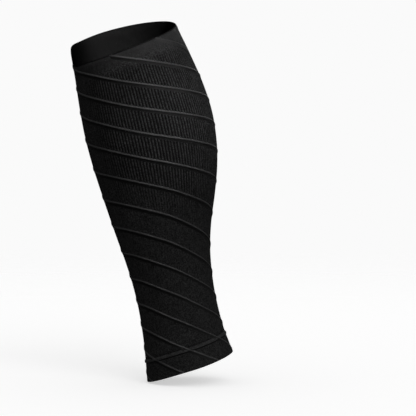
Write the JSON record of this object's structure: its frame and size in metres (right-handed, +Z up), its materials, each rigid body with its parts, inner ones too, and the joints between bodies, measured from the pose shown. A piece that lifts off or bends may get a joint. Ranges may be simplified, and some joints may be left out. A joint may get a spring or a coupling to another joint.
{
  "type": "calf compression sleeve",
  "caption": "Knitted tube worn on the lower leg from ankle to below the knee, with raised ribs that spiral down it, a turned knee edge and a hemmed ankle edge.",
  "frame": {"origin": "middle of the ankle opening, where the sleeve is held round the ankle", "axes": "+Z up the leg to the knee, +X to the back of the calf, -X to the shin, -Y to the side with the lower knee rim"},
  "size_m": [0.1302, 0.1205, 0.3513],
  "materials": {
    "ribbed_knit": "matt elastic knit with fine upright wales and raised spiral ribs",
    "welt_knit": "smooth close elastic knit with a soft sheen",
    "seam_yarn": "raised row of linking stitches",
    "hem_knit": "doubled plain knit, pressed flat"
  },
  "bodies": {
    "root": {"knit_tube": "ribbed_knit", "knee_welt": "welt_knit", "hem_seam": "seam_yarn", "ankle_hem": "hem_knit"}
  },
  "joints": []
}
